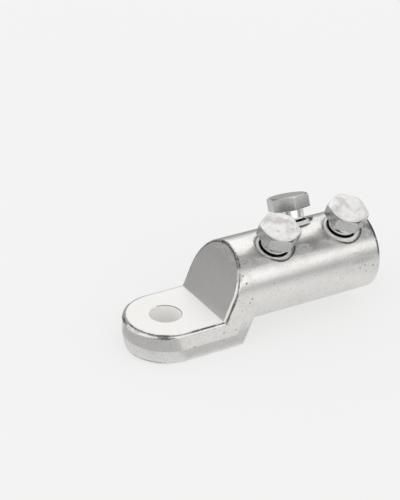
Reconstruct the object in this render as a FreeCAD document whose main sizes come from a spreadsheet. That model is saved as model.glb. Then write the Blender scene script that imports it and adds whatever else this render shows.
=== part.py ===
import FreeCAD, Part
import Sketcher
import os

# Cable lug with shear bolts: a one-piece body with a palm and a barrel, and three one-piece bolts.
# Lengths in mm, angles in degrees. The origin is the middle of the palm hole on the palm's
# underside, X runs along the barrel away from the palm, Z points up.

doc = FreeCAD.newDocument("CableLug")

# Table of sizes
SIZES = [
    ("barrel_radius", "22.4", "outer radius of the barrel, also half the width of the palm"),
    ("barrel_axis_height", "27.75", "height of the barrel's axis above the palm's underside"),
    ("barrel_end_x", "119.3", "position of the barrel's mouth"),
    ("palm_thickness", "17.7", "thickness of the palm"),
    ("palm_hole_radius", "8.5", "clearance hole for an M16 stud"),
    ("palm_hole_chamfer", "0.25", "broken edge of the palm hole"),
    ("notch_x", "22.5", "line where the palm's top meets the leaning face"),
    ("face_lean", "22.4", "angle by which the face over the palm leans back"),
    ("heel_x", "35.8", "back edge of the foot under the barrel"),
    ("heel_lean", "22.4", "angle by which the heel leans"),
    ("foot_band_height", "8.5", "height of the drafted band round the foot"),
    ("foot_band_depth", "1.6", "depth by which the band draws in"),
    ("foot_rounding", "2.0", "rounding of the foot's lowest edge and of the heel's edges"),
    ("top_rounding", "2.2", "rounding of the palm's and the leaning face's edges"),
    ("end_chamfer", "0.7", "chamfer of the barrel's outer edge at the mouth"),
    ("bore_radius", "16.0", "radius of the cable bore"),
    ("bore_drop", "2.4", "distance by which the bore lies under the barrel's axis"),
    ("bore_depth", "74.0", "depth of the blind cable bore"),
    ("bore_chamfer", "1.0", "chamfer at the bore's mouth"),
    ("front_lean", "21.5", "lean of the two front bolts"),
    ("back_lean", "23.2", "lean of the back bolt, to the other side"),
    ("bolt_inset", "16.9", "distance from the mouth to the nearest bolt"),
    ("bolt_pitch", "21.1", "distance from one bolt to the next, along the barrel"),
    ("thread_radius", "10.0", "outer radius of the threaded plug"),
    ("thread_clearance", "0.05", "radial play between plug and tapped hole"),
    ("countersink_radius", "12.3", "radius of the 90 degree countersink at the barrel's crown"),
    ("plug_length", "6.0", "length of the threaded plug"),
    ("plug_chamfer", "0.8", "chamfer at both ends of the plug"),
    ("neck_radius", "7.8", "radius of the shear neck"),
    ("neck_length", "6.7", "length of the shear neck"),
    ("neck_flare", "0.5", "45 degree flare where the neck meets the head"),
    ("shear_groove_depth", "0.7", "depth of the breaking groove at the neck's foot"),
    ("shear_groove_height", "0.9", "height of the breaking groove"),
    ("head_across_flats", "20.0", "width of the hexagon across its flats"),
    ("head_height", "7.45", "height of the hexagon head"),
    ("head_top_radius", "9.85", "radius of the round top face"),
    ("head_chamfer_angle", "30.0", "slope of the chamfer on the head's corners"),
    ("lift_share_1", "0.025", "height of plug 1 over the bore's wall, as a share of the threaded length"),
    ("lift_share_2", "0.35", "height of plug 2 over the bore's wall, as a share of the threaded length"),
    ("lift_share_3", "0.217", "height of plug 3 over the bore's wall, as a share of the threaded length"),
    ("head_angle_1", "32.4", "turn of hexagon 1 about its bolt"),
    ("head_angle_2", "16.2", "turn of hexagon 2 about its bolt"),
    ("head_angle_3", "26.1", "turn of hexagon 3 about its bolt"),
]
sheet = doc.addObject("Spreadsheet::Sheet", "Sizes")
for row, (word, value, meaning) in enumerate(SIZES, start=1):
    sheet.set("A%d" % row, word)
    sheet.set("B%d" % row, value)
    sheet.set("C%d" % row, meaning)
    sheet.setAlias("B%d" % row, word)
doc.recompute()

FULL_TURN = 360.0
HALF_TURN_RADIANS = 3.141592653589793
QUARTER_TURN_RADIANS = HALF_TURN_RADIANS / 2
NEAR = 0.001
HEXAGON_SIDES = 6
SIDE_ANGLE = FULL_TURN / HEXAGON_SIDES
UPWARD = FreeCAD.Vector(0, 0, 1)
ORIGIN = FreeCAD.Vector(0, 0, 0)

# Formulas that several features share
AXIS_HEIGHT = "Sizes.barrel_axis_height"
CREST_HEIGHT = "(Sizes.barrel_axis_height + Sizes.barrel_radius)"
BORE_HEIGHT = "(Sizes.barrel_axis_height - Sizes.bore_drop)"
HOLE_RADIUS = "(Sizes.thread_radius + Sizes.thread_clearance)"


def size(word):
    """Value of one size from the table."""
    return float(sheet.get(word))


def value_of(formula):
    """Present value of a formula."""
    answer = sheet.evalExpression(formula)
    return float(getattr(answer, "Value", answer))


def new_body(name):
    """Empty body with its label."""
    body = doc.addObject("PartDesign::Body", name)
    body.Label = name
    return body


def plane_of(body, role):
    """Origin plane of a body by its role."""
    for feature in body.Origin.OriginFeatures:
        if feature.Role == role:
            return feature
    raise RuntimeError("no plane " + role)


def new_sketch(body, name, role):
    """Sketch on one of the body's own origin planes."""
    sketch = body.newObject("Sketcher::SketchObject", name)
    sketch.AttachmentSupport = (plane_of(body, role), [""])
    sketch.MapMode = "FlatFace"
    return sketch


def fix_point(sketch, part_number, end, x_formula, y_formula):
    """Ties a point of the sketch to two formulas, measured from the sketch's origin."""
    for direction, formula in (("DistanceX", x_formula), ("DistanceY", y_formula)):
        place = sketch.getPoint(part_number, end)
        value = place.x if direction == "DistanceX" else place.y
        number = sketch.addConstraint(Sketcher.Constraint(direction, -1, 1, part_number, end, value))
        sketch.setExpression("Constraints[%d]" % number, formula)


def polygon_sketch(body, name, role, corners):
    """Sketch of a closed polygon; each corner is a pair of formulas."""
    sketch = new_sketch(body, name, role)
    points = [FreeCAD.Vector(value_of(x), value_of(y), 0) for x, y in corners]
    count = len(points)
    for k in range(count):
        sketch.addGeometry(Part.LineSegment(points[k], points[(k + 1) % count]), False)
    for k in range(count):
        sketch.addConstraint(Sketcher.Constraint("Coincident", k, 2, (k + 1) % count, 1))
    for k, (x_formula, y_formula) in enumerate(corners):
        fix_point(sketch, k, 1, x_formula, y_formula)
    return sketch


def circle_sketch(body, name, role, x_formula, y_formula, radius_formula):
    """Sketch of one circle."""
    sketch = new_sketch(body, name, role)
    middle = FreeCAD.Vector(value_of(x_formula), value_of(y_formula), 0)
    sketch.addGeometry(Part.Circle(middle, UPWARD, value_of(radius_formula)), False)
    number = sketch.addConstraint(Sketcher.Constraint("Radius", 0, value_of(radius_formula)))
    sketch.setExpression("Constraints[%d]" % number, radius_formula)
    fix_point(sketch, 0, 3, x_formula, y_formula)
    return sketch


def pad(body, name, sketch, length_formula):
    """Extrusion of a sketch along its normal."""
    feature = body.newObject("PartDesign::Pad", name)
    feature.Profile = (sketch, [""])
    feature.setExpression("Length", length_formula)
    return feature


def cut_through(body, name, sketch):
    """Cut of a sketch through everything, to both sides."""
    feature = body.newObject("PartDesign::Pocket", name)
    feature.Profile = (sketch, [""])
    feature.Type = "ThroughAll"
    feature.Midplane = True
    return feature


def turned(body, kind, name, sketch):
    """Full turn of a sketch about its own vertical axis."""
    feature = body.newObject("PartDesign::" + kind, name)
    feature.Profile = (sketch, [""])
    feature.ReferenceAxis = (sketch, ["V_Axis"])
    feature.Angle = FULL_TURN
    return feature


def fillet(body, name, test, radius_formula):
    """Fillet of the edges that pass a test."""
    doc.recompute()
    base = body.Tip
    feature = body.newObject("PartDesign::Fillet", name)
    feature.Base = (base, edges_where(base.Shape, test))
    feature.setExpression("Radius", radius_formula)
    doc.recompute()
    return feature


def chamfer(body, name, test, size_formula):
    """Even chamfer of the edges that pass a test."""
    doc.recompute()
    base = body.Tip
    feature = body.newObject("PartDesign::Chamfer", name)
    feature.Base = (base, edges_where(base.Shape, test))
    feature.setExpression("Size", size_formula)
    doc.recompute()
    return feature


def edges_where(shape, test):
    """Names of the edges that pass a test."""
    return ["Edge%d" % (k + 1) for k, edge in enumerate(shape.Edges) if test(edge)]


def near(value, target):
    """True when two lengths agree."""
    return abs(value - target) < NEAR


def is_circle(edge, radius):
    """True for a circular edge of this radius."""
    return isinstance(edge.Curve, Part.Circle) and near(edge.Curve.Radius, radius)


# Lug body
lug = new_body("lug_body")

# Slab of the palm and heel, half round at the palm's end
slab_outline = new_sketch(lug, "slab_outline", "XY_Plane")
half_width = size("barrel_radius")
SLAB_FAR = "Sizes.heel_x + Sizes.barrel_axis_height"
slab_far = value_of(SLAB_FAR)
round_end = Part.Circle(ORIGIN, UPWARD, half_width)
slab_outline.addGeometry(
    Part.ArcOfCircle(round_end, QUARTER_TURN_RADIANS, HALF_TURN_RADIANS + QUARTER_TURN_RADIANS), False)
slab_points = [(0, -half_width), (slab_far, -half_width), (slab_far, half_width), (0, half_width)]
for (x1, y1), (x2, y2) in zip(slab_points, slab_points[1:]):
    slab_outline.addGeometry(Part.LineSegment(FreeCAD.Vector(x1, y1, 0), FreeCAD.Vector(x2, y2, 0)), False)
slab_outline.addConstraint(Sketcher.Constraint("Coincident", 0, 3, -1, 1))
slab_outline.addConstraint(Sketcher.Constraint("Tangent", 0, 2, 1, 1))
slab_outline.addConstraint(Sketcher.Constraint("Coincident", 1, 2, 2, 1))
slab_outline.addConstraint(Sketcher.Constraint("Coincident", 2, 2, 3, 1))
slab_outline.addConstraint(Sketcher.Constraint("Tangent", 3, 2, 0, 1))
slab_outline.addConstraint(Sketcher.Constraint("Horizontal", 1))
fix_point(slab_outline, 2, 1, SLAB_FAR, "-Sizes.barrel_radius")
fix_point(slab_outline, 2, 2, SLAB_FAR, "Sizes.barrel_radius")
slab = pad(lug, "slab", slab_outline, AXIS_HEIGHT)

# Heel under the barrel, leaning back
HEEL_LOW = "(0 - Sizes.palm_thickness)"
HEEL_BEHIND = "Sizes.heel_x + Sizes.barrel_end_x"
heel_outline = polygon_sketch(lug, "heel_outline", "XZ_Plane", [
    ("Sizes.heel_x + %s * tan(Sizes.heel_lean)" % HEEL_LOW, HEEL_LOW),
    (HEEL_BEHIND, HEEL_LOW),
    (HEEL_BEHIND, CREST_HEIGHT),
    ("Sizes.heel_x + %s * tan(Sizes.heel_lean)" % CREST_HEIGHT, CREST_HEIGHT),
])
heel = cut_through(lug, "heel", heel_outline)

# Drafted band round the foot and up both sides of the heel


def on_foot_outline(edge):
    """True for the slab's lowest outline and the heel's side edges."""
    box = edge.BoundBox
    low = near(box.ZMax, 0) and box.XMin < size("heel_x") - NEAR
    side = near(box.YLength, 0) and box.XMin > size("heel_x") - NEAR and box.ZLength > NEAR
    return low or side


doc.recompute()
foot_band = lug.newObject("PartDesign::Chamfer", "foot_band")
foot_band.Base = (heel, edges_where(heel.Shape, on_foot_outline))
foot_band.ChamferType = "Two distances"
foot_band.setExpression("Size", "Sizes.foot_band_height")
foot_band.setExpression("Size2", "Sizes.foot_band_depth")
doc.recompute()


def on_foot_edge(edge):
    """True for the lowest edges and the heel's side edges."""
    box = edge.BoundBox
    low = near(box.ZMax, 0)
    side = near(box.YLength, 0) and box.XMin > size("heel_x") - NEAR and box.ZLength > NEAR
    return low or side


fillet(lug, "foot_edge", on_foot_edge, "Sizes.foot_rounding")

# Round barrel
barrel_section = circle_sketch(lug, "barrel_section", "YZ_Plane", "0", AXIS_HEIGHT, "Sizes.barrel_radius")
barrel_section.setExpression("AttachmentOffset.Base.z", "Sizes.notch_x")
barrel = pad(lug, "barrel", barrel_section, "Sizes.barrel_end_x - Sizes.notch_x")

# Leaning face over the palm
FACE_TOP = "(Sizes.barrel_axis_height + 2 * Sizes.barrel_radius)"
FACE_FRONT = "-2 * Sizes.barrel_radius"
face_outline = polygon_sketch(lug, "face_outline", "XZ_Plane", [
    ("Sizes.notch_x", "Sizes.palm_thickness"),
    ("Sizes.notch_x + (%s - Sizes.palm_thickness) * tan(Sizes.face_lean)" % FACE_TOP, FACE_TOP),
    (FACE_FRONT, FACE_TOP),
    (FACE_FRONT, "Sizes.palm_thickness"),
])
leaning_face = cut_through(lug, "leaning_face", face_outline)


def on_upper_outline(edge):
    """True for the palm's upper outline and the outline of the leaning face."""
    box = edge.BoundBox
    thickness = size("palm_thickness")
    level = near(box.ZMax, thickness) and near(box.ZMin, thickness)
    palm = level and not (near(box.XMin, size("notch_x")) and near(box.XMax, size("notch_x")))
    flank = near(box.ZMin, thickness) and near(box.XMin, size("notch_x")) and near(box.YLength, 0)
    crown = isinstance(edge.Curve, Part.Ellipse) and box.ZMax > value_of(AXIS_HEIGHT) + NEAR
    return palm or (flank and box.ZLength > NEAR) or crown


upper_edge = fillet(lug, "upper_edge", on_upper_outline, "Sizes.top_rounding")


def on_barrel_end(edge):
    """True for the barrel's outer edge at the mouth."""
    return is_circle(edge, size("barrel_radius")) and near(edge.BoundBox.XMin, size("barrel_end_x"))


barrel_end_edge = chamfer(lug, "barrel_end_edge", on_barrel_end, "Sizes.end_chamfer")

# Palm hole with broken edges
palm_hole_circle = circle_sketch(lug, "palm_hole_circle", "XY_Plane", "0", "0", "Sizes.palm_hole_radius")
palm_hole = cut_through(lug, "palm_hole", palm_hole_circle)
palm_hole_edges = chamfer(
    lug, "palm_hole_edges",
    lambda edge: is_circle(edge, size("palm_hole_radius")), "Sizes.palm_hole_chamfer")

# Blind cable bore from the mouth, set low so that the threaded side has the thicker wall
bore_circle = circle_sketch(lug, "bore_circle", "YZ_Plane", "0", BORE_HEIGHT, "Sizes.bore_radius")
bore_circle.setExpression("AttachmentOffset.Base.z", "Sizes.barrel_end_x")
cable_bore = lug.newObject("PartDesign::Pocket", "cable_bore")
cable_bore.Profile = (bore_circle, [""])
cable_bore.setExpression("Length", "Sizes.bore_depth")


def on_bore_mouth(edge):
    """True for the bore's edge at the mouth."""
    return is_circle(edge, size("bore_radius")) and near(edge.BoundBox.XMin, size("barrel_end_x"))


bore_mouth_edge = chamfer(lug, "bore_mouth_edge", on_bore_mouth, "Sizes.bore_chamfer")


def radial_sketch(body, name, station, lean, side, corners):
    """Half section in the plane through one bolt's axis, measured from the barrel's axis."""
    sketch = polygon_sketch(body, name, "XZ_Plane", corners)
    axis = FreeCAD.Vector(side, 0, 0)
    sketch.AttachmentOffset = FreeCAD.Placement(ORIGIN, FreeCAD.Rotation(axis, value_of(lean)))
    sketch.setExpression("AttachmentOffset.Base.x", station)
    sketch.setExpression("AttachmentOffset.Base.y", AXIS_HEIGHT)
    sketch.setExpression("AttachmentOffset.Rotation.Angle", lean)
    return sketch


# Tapped holes with wide countersinks, one for each bolt: station, lean and side
LAST_STATION = "Sizes.barrel_end_x - Sizes.bolt_inset"
STATIONS = [
    LAST_STATION + " - Sizes.bolt_pitch - Sizes.bolt_pitch",
    LAST_STATION + " - Sizes.bolt_pitch",
    LAST_STATION,
]
BOLTS = [
    ("shear_bolt_1", STATIONS[0], "Sizes.front_lean", 1, "Sizes.lift_share_1", "Sizes.head_angle_1"),
    ("shear_bolt_2", STATIONS[1], "Sizes.back_lean", -1, "Sizes.lift_share_2", "Sizes.head_angle_2"),
    ("shear_bolt_3", STATIONS[2], "Sizes.front_lean", 1, "Sizes.lift_share_3", "Sizes.head_angle_3"),
]
CONE_DEPTH = "(Sizes.countersink_radius - %s)" % HOLE_RADIUS
CONE_FOOT = "(Sizes.barrel_radius - %s)" % CONE_DEPTH
CONE_TOP = "Sizes.barrel_radius + " + CONE_DEPTH
HOLE_FOOT = "Sizes.barrel_radius - Sizes.bore_radius"
for name, station, lean, side, lift, turn in BOLTS:
    hole_section = radial_sketch(lug, name + "_hole_section", station, lean, side, [
        ("0", HOLE_FOOT),
        (HOLE_RADIUS, HOLE_FOOT),
        (HOLE_RADIUS, CONE_FOOT),
        ("%s + 2 * %s" % (HOLE_RADIUS, CONE_DEPTH), CONE_TOP),
        ("0", CONE_TOP),
    ])
    turned(lug, "Groove", name + "_hole", hole_section)
doc.recompute()


def wall_level(lean):
    """Formula for the distance from the barrel's axis to the bore's wall, along one bolt."""
    across = "(Sizes.bore_drop * sin(%s))" % lean
    along = "Sizes.bore_drop * cos(%s)" % lean
    return "(sqrt(Sizes.bore_radius * Sizes.bore_radius - %s * %s) - %s)" % (across, across, along)


# Shear bolts, each turned in one piece; their own Z axis runs outwards from the barrel's axis
for name, station, lean, side, lift, turn in BOLTS:
    bolt = new_body(name)
    axis = FreeCAD.Vector(side, 0, 0)
    bolt.Placement = FreeCAD.Placement(ORIGIN, FreeCAD.Rotation(axis, value_of(lean)))
    bolt.setExpression("Placement.Base.x", station)
    bolt.setExpression("Placement.Base.z", AXIS_HEIGHT)
    bolt.setExpression("Placement.Rotation.Angle", lean)
    foot = "(%s + %s * (%s - %s))" % (wall_level(lean), lift, CONE_FOOT, wall_level(lean))
    plug_top = "(%s + Sizes.plug_length)" % foot
    head_foot = "(%s + Sizes.neck_length)" % plug_top
    head_top = "(%s + Sizes.head_height)" % head_foot
    shank_section = polygon_sketch(bolt, name + "_shank_section", "XZ_Plane", [
        ("0", foot),
        ("Sizes.thread_radius - Sizes.plug_chamfer", foot),
        ("Sizes.thread_radius", foot + " + Sizes.plug_chamfer"),
        ("Sizes.thread_radius", plug_top + " - Sizes.plug_chamfer"),
        ("Sizes.thread_radius - Sizes.plug_chamfer", plug_top),
        ("Sizes.neck_radius - Sizes.shear_groove_depth", plug_top),
        ("Sizes.neck_radius", plug_top + " + Sizes.shear_groove_height"),
        ("Sizes.neck_radius", head_foot + " - Sizes.neck_flare"),
        ("Sizes.neck_radius + Sizes.neck_flare", head_foot),
        ("0", head_foot),
    ])
    turned(bolt, "Revolution", name + "_shank", shank_section)
    corner_radius = "(Sizes.head_across_flats / 2 / cos(%s))" % (SIDE_ANGLE / 2)
    corners = []
    for k in range(HEXAGON_SIDES):
        corner_angle = "(%s + %s)" % (turn, SIDE_ANGLE * k)
        corners.append((corner_radius + " * cos" + corner_angle, corner_radius + " * sin" + corner_angle))
    hexagon = polygon_sketch(bolt, name + "_hexagon", "XY_Plane", corners)
    hexagon.setExpression("AttachmentOffset.Base.z", head_foot)
    pad(bolt, name + "_head", hexagon, "Sizes.head_height")
    beyond = "Sizes.head_across_flats"
    chamfer_section = polygon_sketch(bolt, name + "_chamfer_section", "XZ_Plane", [
        ("Sizes.head_top_radius", head_top),
        (beyond, "%s - (%s - Sizes.head_top_radius) * tan(Sizes.head_chamfer_angle)" % (head_top, beyond)),
        (beyond, head_top + " + Sizes.neck_length"),
        ("Sizes.head_top_radius", head_top + " + Sizes.neck_length"),
    ])
    turned(bolt, "Groove", name + "_head_chamfer", chamfer_section)

doc.recompute()

# Every object must have built without an error
faults = [item.Name for item in doc.Objects if "Invalid" in item.State or "Error" in item.State]
if faults:
    raise RuntimeError("features that did not build: " + ", ".join(faults))

# One STEP file for each piece
os.makedirs("parts", exist_ok=True)
for body in [lug] + [doc.getObject(name) for name, station, lean, side, lift, turn in BOLTS]:
    shape = body.Shape
    if shape.isNull() or not shape.isValid() or len(shape.Solids) != 1:
        raise RuntimeError("bad solid in " + body.Label)
    shape.exportStep(os.path.join("parts", body.Label + ".step"))
    box = shape.BoundBox
    print(body.Label, round(shape.Volume, 1), [round(v, 2) for v in (
        box.XMin, box.XMax, box.YMin, box.YMax, box.ZMin, box.ZMax)])
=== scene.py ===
import math
from collections import namedtuple

import bmesh
import bpy
from bpy.props import FloatProperty, FloatVectorProperty, PointerProperty
from mathutils import Matrix, Vector


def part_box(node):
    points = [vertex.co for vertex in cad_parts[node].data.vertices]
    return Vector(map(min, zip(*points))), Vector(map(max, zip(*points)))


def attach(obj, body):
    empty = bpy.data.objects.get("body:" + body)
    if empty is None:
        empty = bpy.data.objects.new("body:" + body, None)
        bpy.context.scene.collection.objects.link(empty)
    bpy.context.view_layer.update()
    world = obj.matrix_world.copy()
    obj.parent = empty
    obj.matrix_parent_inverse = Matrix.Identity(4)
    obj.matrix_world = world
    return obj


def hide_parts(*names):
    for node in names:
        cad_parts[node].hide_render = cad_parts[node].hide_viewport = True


bl_info = {
    "name": "Shear bolt cable lug",
    "version": (1, 0, 0),
    "blender": (4, 5, 0),
    "location": "View3D > Sidebar > Cable lug",
    "description": "Dresses a tinned cable lug and its three shear bolts",
    "category": "Add Mesh",
}

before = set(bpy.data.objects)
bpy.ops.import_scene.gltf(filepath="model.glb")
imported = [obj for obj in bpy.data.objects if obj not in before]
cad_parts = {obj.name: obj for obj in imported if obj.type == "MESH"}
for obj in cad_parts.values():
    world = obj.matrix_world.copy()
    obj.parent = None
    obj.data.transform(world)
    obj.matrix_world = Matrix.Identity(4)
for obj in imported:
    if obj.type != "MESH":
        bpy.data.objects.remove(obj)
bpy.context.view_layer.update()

MM = 0.001
LUG_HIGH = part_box("lug_body")[1]
SETTINGS = "cable_lug"


# Sizes and colours that a user would change


def length(name, description, default, least=0.001):
    """Setting for a length in metres."""
    return FloatProperty(name=name, description=description, default=default, min=least, unit="LENGTH")


def share_setting(name, description, default, least=0.02):
    """Setting for a share of a whole."""
    return FloatProperty(
        name=name, description=description, default=default, min=least, max=1.0, subtype="FACTOR")


def colour_setting(name, description, default):
    """Setting for a colour."""
    return FloatVectorProperty(
        name=name, description=description, subtype="COLOR", size=3, default=default, min=0.0, max=1.0)


class LugBodySettings(bpy.types.PropertyGroup):
    """Sizes of the lug body's faces and the look of its tin plate."""

    barrel_radius: length("Barrel radius", "Outer radius of the barrel", LUG_HIGH.y)
    axis_height: length(
        "Axis height", "Height of the barrel's axis above the palm's underside", LUG_HIGH.z - LUG_HIGH.y)
    bore_radius: length("Bore radius", "Radius of the cable bore", 0.016)
    bore_drop: length(
        "Bore drop", "Distance from the barrel's axis down to the bore's axis", 0.0024, 0.0)
    palm_hole_radius: length("Palm hole radius", "Radius of the hole for the stud", 0.0085)
    edge_bend: FloatProperty(
        name="Edge bend", description="Turn per millimetre past which a face is an edge rounding",
        default=0.2, min=0.01)
    plate_colour: colour_setting("Plate colour", "Colour of the satin tin plate", (0.925, 0.918, 0.895))
    stain_colour: colour_setting(
        "Stain colour", "Colour of the plate where handling has dulled it", (0.83, 0.82, 0.795))
    pit_colour: colour_setting("Pit colour", "Colour at the bottom of casting pits", (0.24, 0.23, 0.215))
    roughness: share_setting("Roughness", "Roughness of the plate", 0.30)


class ShearBoltSettings(bpy.types.PropertyGroup):
    """Sizes of the three shear bolts and the look of their faces."""

    across_flats: length("Across flats", "Width of the hexagon", 0.0200)
    head_height: length("Head height", "Height of the hexagon head", 0.00745)
    top_radius: length("Top radius", "Radius of the head's round top face", 0.00985)
    neck_radius: length("Neck radius", "Radius of the shear neck", 0.0073)
    neck_length: length("Neck length", "Length of the shear neck", 0.0067)
    plug_length: length("Plug length", "Length of the threaded plug", 0.006)
    groove_depth: length("Groove depth", "Depth of the breaking groove", 0.0011, 0.0)
    groove_height: length("Groove height", "Height of the breaking groove", 0.0012, 0.0001)
    recess_radius: length(
        "Recess radius", "Outer radius of the shallow recess round the neck's foot", 0.0082)
    thread_radius: length("Thread radius", "Outer radius of the plug's thread", 0.010)
    thread_pitch: length("Thread pitch", "Rise of the thread in one turn", 0.0015, 0.0005)
    corner_rounding: length(
        "Corner rounding", "Rounding of the hexagon's upright corners", 0.0003, 0.00005)
    facet_colour: colour_setting(
        "Facet colour", "Colour of the drawn facets and the turned shank", (0.60, 0.60, 0.595))
    plug_colour: colour_setting("Plug colour", "Colour of the threaded plugs", (0.95, 0.945, 0.93))
    top_colour: colour_setting("Top colour", "Colour of the rough head tops", (0.95, 0.942, 0.93))
    roughness: share_setting("Roughness", "Roughness of the facets", 0.24)


class StudioSettings(bpy.types.PropertyGroup):
    """Floor, light and camera."""

    floor_colour: colour_setting("Floor colour", "Colour of the plain floor", (0.905, 0.905, 0.902))
    floor_size: length("Floor size", "Half the side of the floor", 6.0, 1.0)
    shadow_share: share_setting(
        "Shadow share", "How much of the floor's brightness the object's shadow can take", 0.28, 0.0)
    lens: FloatProperty(
        name="Lens", description="Focal length in millimetres", default=117.6, min=10.0)


# Small helpers for node trees


FLOAT = "NodeSocketFloat"
VECTOR = "NodeSocketVector"
NUMBER_RESULTS = ("LENGTH", "DISTANCE", "DOT_PRODUCT")


def add_node(tree, kind, inputs=None, **settings):
    """Node of one kind with its settings and input values; a linked input is given as a socket."""
    node = tree.nodes.new(kind)
    for key, value in settings.items():
        setattr(node, key, value)
    for key, value in (inputs or {}).items():
        if isinstance(value, bpy.types.NodeSocket):
            tree.links.new(value, node.inputs[key])
        else:
            node.inputs[key].default_value = value
    return node


def maths(tree, operation, first, second=0.0, clamp=False):
    """Result socket of one Math node."""
    node = add_node(tree, "ShaderNodeMath", {0: first, 1: second}, operation=operation, use_clamp=clamp)
    return node.outputs[0]


def times(tree, first, second, clamp=False):
    """Product of two values."""
    return maths(tree, "MULTIPLY", first, second, clamp)


def plus(tree, first, second, clamp=False):
    """Sum of two values."""
    return maths(tree, "ADD", first, second, clamp)


def minus(tree, first, second, clamp=False):
    """Difference of two values."""
    return maths(tree, "SUBTRACT", first, second, clamp)


def vector_maths(tree, operation, *values):
    """Result socket of one Vector Math node."""
    node = add_node(tree, "ShaderNodeVectorMath", dict(enumerate(values)), operation=operation)
    return node.outputs["Value" if operation in NUMBER_RESULTS else "Vector"]


def noise(tree, place, scale, detail, **more):
    """Number socket of one Noise Texture node."""
    node = add_node(tree, "ShaderNodeTexNoise", {"Vector": place, "Scale": scale, "Detail": detail, **more})
    return node.outputs["Fac"]


def map_range(tree, value, low, high, to_low=0.0, to_high=1.0, smooth=False):
    """Result socket of a Map Range node."""
    node = add_node(
        tree, "ShaderNodeMapRange",
        {"Value": value, "From Min": low, "From Max": high, "To Min": to_low, "To Max": to_high},
        interpolation_type="SMOOTHSTEP" if smooth else "LINEAR")
    return node.outputs["Result"]


def rgba(colour):
    """Colour with an opaque alpha."""
    return (*colour, 1.0)


def tinted(colour, factor):
    """Colour made darker or lighter."""
    return [min(1.0, c * factor) for c in colour]


def mix_colour(tree, factor, first, second):
    """Result socket of a colour Mix node, from a socket or a plain colour to a plain colour."""
    if not isinstance(first, bpy.types.NodeSocket):
        first = rgba(first)
    node = add_node(tree, "ShaderNodeMix", {"Factor": factor, 6: first, 7: rgba(second)}, data_type="RGBA")
    return node.outputs[2]


def empty_tree(owner):
    """Empty node tree of a new material or world."""
    owner.use_nodes = True
    owner.node_tree.nodes.clear()
    return owner.node_tree


# Shared surface effects


def plating_mottle(tree, place, given):
    """Soft cloudy patches of plate thickness and handling."""
    broad = noise(tree, place, given["Scale"], 5.0, Roughness=0.62, Distortion=0.6)
    return map_range(tree, broad, given["Low"], given["High"], smooth=True)


def metal_grain(tree, place, given):
    """Fine blasted grain with drawn lines along one axis, as a height."""
    grain = noise(tree, place, given["Grain Scale"], 3.0, Roughness=0.6)
    stretched = vector_maths(tree, "MULTIPLY", place, given["Line Stretch"])
    lines = noise(tree, stretched, 1.0, 4.0, Roughness=0.55)
    swell = noise(tree, place, 260.0, 2.0, Roughness=0.5)
    total = plus(tree, times(tree, grain, given["Grain Share"]), times(tree, lines, given["Line Share"]))
    return plus(tree, total, times(tree, swell, given["Swell Share"]))


def casting_pits(tree, place, given):
    """Sparse small pits, left where a cell's random number is under the share."""
    warp = add_node(tree, "ShaderNodeTexNoise", {"Vector": place, "Scale": 900.0, "Detail": 2.0})
    bent = vector_maths(tree, "MULTIPLY_ADD", warp.outputs["Color"], (0.0009, 0.0009, 0.0009), place)
    cells = add_node(tree, "ShaderNodeTexVoronoi", {
        "Vector": bent, "Scale": given["Scale"], "Randomness": 1.0}, feature="F1").outputs
    chance = add_node(tree, "ShaderNodeSeparateColor", {"Color": cells["Color"]}).outputs
    chosen = maths(tree, "LESS_THAN", chance["Red"], given["Share"])
    size = times(tree, given["Size"], plus(tree, chance["Green"], 0.35))
    near = minus(tree, 1.0, maths(tree, "DIVIDE", cells["Distance"], size), clamp=True)
    return times(tree, maths(tree, "POWER", near, 0.7), chosen)


def scuff(tree, place, given):
    """One dark scuff round a point of the surface, with a ragged outline."""
    ragged = noise(tree, place, 1600.0, 2.0)
    apart = vector_maths(tree, "DISTANCE", place, given["Centre"])
    share = maths(tree, "DIVIDE", apart, given["Radius"])
    near = minus(tree, 1.35, plus(tree, share, times(tree, ragged, 0.9)))
    return times(tree, near, 2.5, clamp=True)


def painted_ring_line(tree, place, given):
    """Broken line at one distance from an axis: the painted shade and painted highlights round the holes."""
    offset = vector_maths(tree, "SUBTRACT", place, given["Point"])
    apart = vector_maths(tree, "LENGTH", vector_maths(tree, "CROSS_PRODUCT", offset, given["Axis"]))
    ahead = map_range(tree, vector_maths(tree, "DOT_PRODUCT", offset, given["Axis"]), -0.004, -0.002)
    off = maths(tree, "ABSOLUTE", minus(tree, apart, given["Radius"]))
    share = maths(tree, "DIVIDE", off, given["Half Width"])
    line = times(tree, map_range(tree, share, 0.45, 1.0, 1.0, 0.0, smooth=True), ahead)
    gaps = map_range(tree, noise(tree, place, 700.0, 3.0), 0.38, 0.56, smooth=True)
    kept = minus(tree, 1.0, times(tree, given["Break Up"], minus(tree, 1.0, gaps)))
    beside = vector_maths(tree, "DOT_PRODUCT", offset, given["Side"])
    toward = map_range(
        tree, maths(tree, "DIVIDE", beside, given["Radius"]), given["Side Reach"],
        plus(tree, given["Side Reach"], 0.25), smooth=True)
    sided = maths(tree, "ABSOLUTE", minus(tree, toward, given["Away"]))
    return times(tree, times(tree, line, kept), sided)


def speckled_patch(tree, place, given):
    """Field of fine dark specks that thins out from its middle."""
    offset = vector_maths(tree, "SUBTRACT", place, given["Centre"])
    apart = vector_maths(tree, "LENGTH", vector_maths(tree, "MULTIPLY", offset, given["Spread"]))
    near = map_range(tree, apart, 0.25, 1.0, 1.0, 0.0, smooth=True)
    drawn = vector_maths(tree, "MULTIPLY", place, (0.75, 1.0, 1.0))
    specks = noise(tree, drawn, given["Scale"], 3.0, Roughness=0.6)
    least = minus(tree, 0.60, times(tree, near, 0.19))
    above = times(tree, minus(tree, specks, least), 11.0, clamp=True)
    return times(tree, above, near)


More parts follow.
